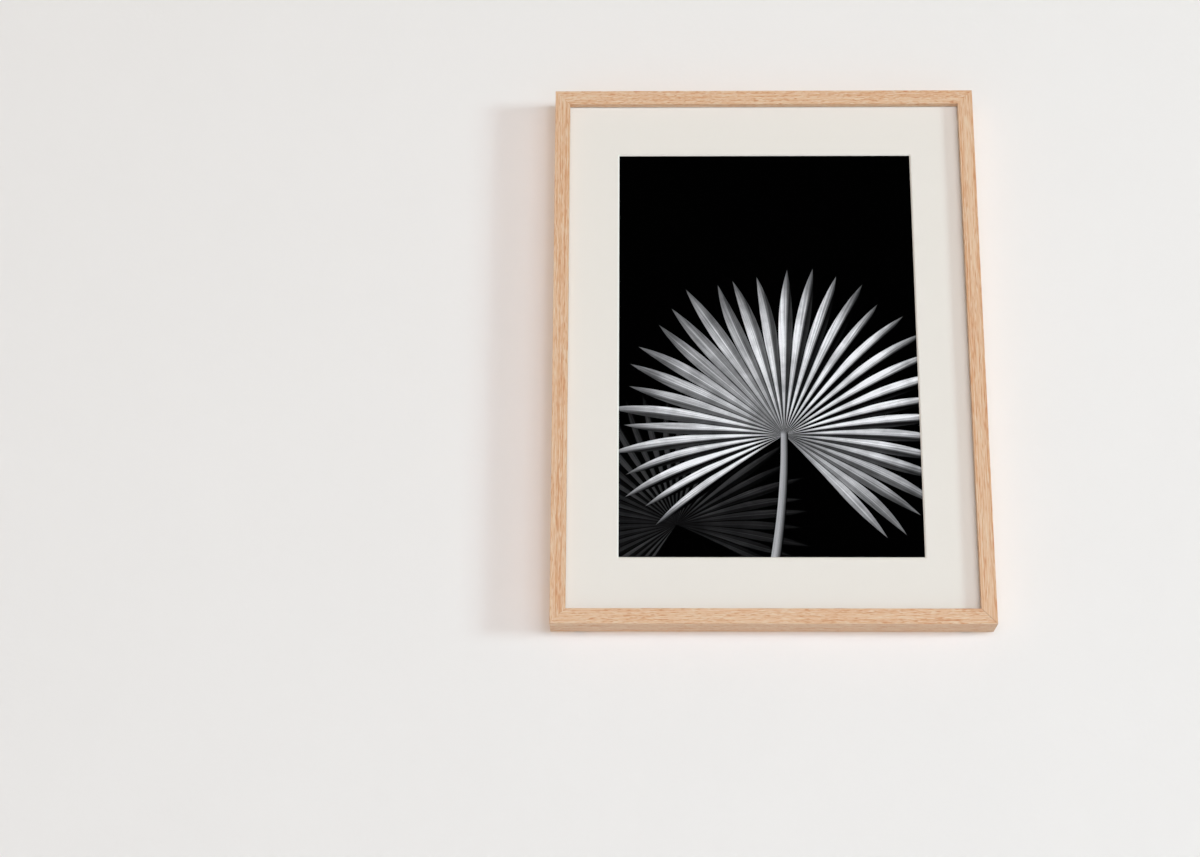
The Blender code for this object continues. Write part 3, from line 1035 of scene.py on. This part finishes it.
class WALLPICTURE_OT_mat(Operator):
    """Build the mat board with its bevelled window"""

    bl_idname = "wall_picture.mat"
    bl_label = "Mat board"

    def execute(self, context):
        make_mat(context.scene.wall_picture.mat)
        return {"FINISHED"}


class WALLPICTURE_OT_print(Operator):
    """Build the printed sheet behind the mat"""

    bl_idname = "wall_picture.print_sheet"
    bl_label = "Print"

    def execute(self, context):
        settings = context.scene.wall_picture
        make_print(settings.print_sheet, settings.mat)
        return {"FINISHED"}


class WALLPICTURE_OT_glazing(Operator):
    """Give the glazing its clear coated finish"""

    bl_idname = "wall_picture.glazing"
    bl_label = "Glazing"

    def execute(self, context):
        make_glazing(context.scene.wall_picture.glazing)
        return {"FINISHED"}


class WALLPICTURE_OT_backing(Operator):
    """Build the hardboard backing"""

    bl_idname = "wall_picture.backing"
    bl_label = "Backing board"

    def execute(self, context):
        make_backing(context.scene.wall_picture.backing)
        return {"FINISHED"}


class WALLPICTURE_OT_tabs(Operator):
    """Finish the spring tabs that hold the backing"""

    bl_idname = "wall_picture.tabs"
    bl_label = "Spring tabs"

    def execute(self, context):
        make_tabs(context.scene.wall_picture.backing)
        return {"FINISHED"}


class WALLPICTURE_OT_corner_nails(Operator):
    """Build the corner nails across the mitres"""

    bl_idname = "wall_picture.corner_nails"
    bl_label = "Corner nails"

    def execute(self, context):
        make_corner_nails(context.scene.wall_picture.backing)
        return {"FINISHED"}


class WALLPICTURE_OT_hanger(Operator):
    """Finish the toothed hanger and its nails"""

    bl_idname = "wall_picture.hanger"
    bl_label = "Hanger"

    def execute(self, context):
        make_hanger(context.scene.wall_picture.backing)
        return {"FINISHED"}


class WALLPICTURE_OT_bumpers(Operator):
    """Finish the rubber pads that meet the wall"""

    bl_idname = "wall_picture.bumpers"
    bl_label = "Wall bumpers"

    def execute(self, context):
        make_bumpers(context.scene.wall_picture.backing)
        return {"FINISHED"}


class WALLPICTURE_OT_stage(Operator):
    """Set up the wall, the floor, the light and the camera"""

    bl_idname = "wall_picture.stage"
    bl_label = "Stage"

    def execute(self, context):
        make_stage(context.scene.wall_picture.stage)
        return {"FINISHED"}


# Each step of the build, with the settings that the panel shows under its button
OPERATORS = (
    (WALLPICTURE_OT_oak_rails, "oak"),
    (WALLPICTURE_OT_mat, "mat"),
    (WALLPICTURE_OT_print, "print_sheet"),
    (WALLPICTURE_OT_glazing, "glazing"),
    (WALLPICTURE_OT_backing, "backing"),
    (WALLPICTURE_OT_tabs, None),
    (WALLPICTURE_OT_corner_nails, None),
    (WALLPICTURE_OT_hanger, None),
    (WALLPICTURE_OT_bumpers, None),
    (WALLPICTURE_OT_stage, "stage"),
)


class WALLPICTURE_PT_build(Panel):
    """Lists the pieces of the picture with their settings"""

    bl_idname = "WALLPICTURE_PT_build"
    bl_label = "Wall Picture"
    bl_space_type = "VIEW_3D"
    bl_region_type = "UI"
    bl_category = "Wall Picture"

    def draw(self, context):
        settings = context.scene.wall_picture
        for operator, group in OPERATORS:
            box = self.layout.box()
            box.operator(operator.bl_idname)
            if group:
                values = getattr(settings, group)
                for name in values.__annotations__:
                    box.prop(values, name)


CLASSES = (
    OakRails,
    MatBoard,
    PrintSheet,
    GlazingSheet,
    Backing,
    Stage,
    WallPicture,
    *(operator for operator, _ in OPERATORS),
    WALLPICTURE_PT_build,
)


def register():
    for item in CLASSES:
        bpy.utils.register_class(item)
    bpy.types.Scene.wall_picture = PointerProperty(type=WallPicture)


def unregister():
    del bpy.types.Scene.wall_picture
    for item in reversed(CLASSES):
        bpy.utils.unregister_class(item)


def main():
    """Build every piece."""
    register()
    bpy.ops.wall_picture.stage()
    bpy.ops.wall_picture.oak_rails()
    bpy.ops.wall_picture.mat()
    bpy.ops.wall_picture.print_sheet()
    bpy.ops.wall_picture.glazing()
    bpy.ops.wall_picture.backing()
    bpy.ops.wall_picture.tabs()
    bpy.ops.wall_picture.corner_nails()
    bpy.ops.wall_picture.hanger()
    bpy.ops.wall_picture.bumpers()


if __name__ == "__main__":
    main()
